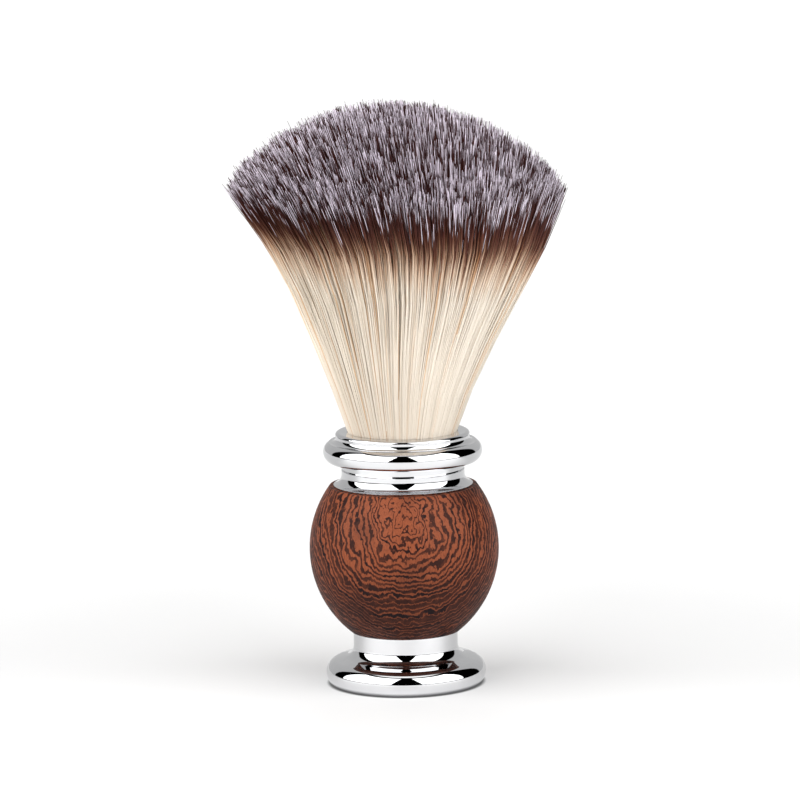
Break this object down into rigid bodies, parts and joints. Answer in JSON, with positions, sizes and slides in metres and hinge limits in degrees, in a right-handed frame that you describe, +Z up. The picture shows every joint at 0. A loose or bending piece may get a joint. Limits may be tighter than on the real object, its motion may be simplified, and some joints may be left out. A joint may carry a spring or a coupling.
{
  "type": "shaving brush",
  "caption": "Shaving brush with a domed, flared hair knot in a beaded metal collar that screws off a turned wood ball handle on a flanged metal foot.",
  "frame": {"origin": "middle of the foot's underside, where the brush stands", "axes": "+Z up the brush's axis from the foot to the crown of the hair; X and Y are equivalent, with the wood's figure facing -Y"},
  "size_m": [0.0624, 0.0624, 0.1116],
  "materials": {
    "hair": "fine synthetic bristle, cream roots, brown band, pale grey tips",
    "binding_thread": "tightly wound thread",
    "knot_resin": "cast resin",
    "epoxy": "cured adhesive",
    "polished_chrome": "mirror-polished chrome plate",
    "zinc_steel": "bright zinc plate",
    "spring_steel": "dark oiled spring steel",
    "insert_brass": "machined brass",
    "seal_rubber": "matte black rubber",
    "figured_wood": "red-brown hardwood with near-black growth lines, satin lacquer",
    "pad_felt": "black felt"
  },
  "bodies": {
    "handle": {"ferrule_ring": "polished_chrome", "threaded_insert": "insert_brass", "wood_ball": "figured_wood", "tie_rod": "zinc_steel", "foot": "polished_chrome", "flat_washer": "zinc_steel", "spring_washer": "spring_steel", "foot_nut": "zinc_steel", "foot_pad": "pad_felt"},
    "seal": {"seal_ring": "seal_rubber"},
    "head": {"hair_bundle": "hair", "knot_binding": "binding_thread", "knot_resin_plug": "knot_resin", "epoxy_bed": "epoxy", "collar_cup": "polished_chrome", "head_screw": "zinc_steel"}
  },
  "joints": [
    {"name": "head_lift", "type": "slide", "parent": "handle", "child": "seal", "axis": [0, 0, 1], "range_m": [0, 0.00656]},
    {"name": "head_turn", "type": "hinge", "parent": "seal", "child": "head", "pos_m": [0, 0, 0.0413], "axis": [0, 0, 1], "range_deg": [0, 1890]}
  ],
  "couplings": [
    {"joint": "head_turn", "follows": "head_lift", "rad_per_m": 5026.5}
  ]
}
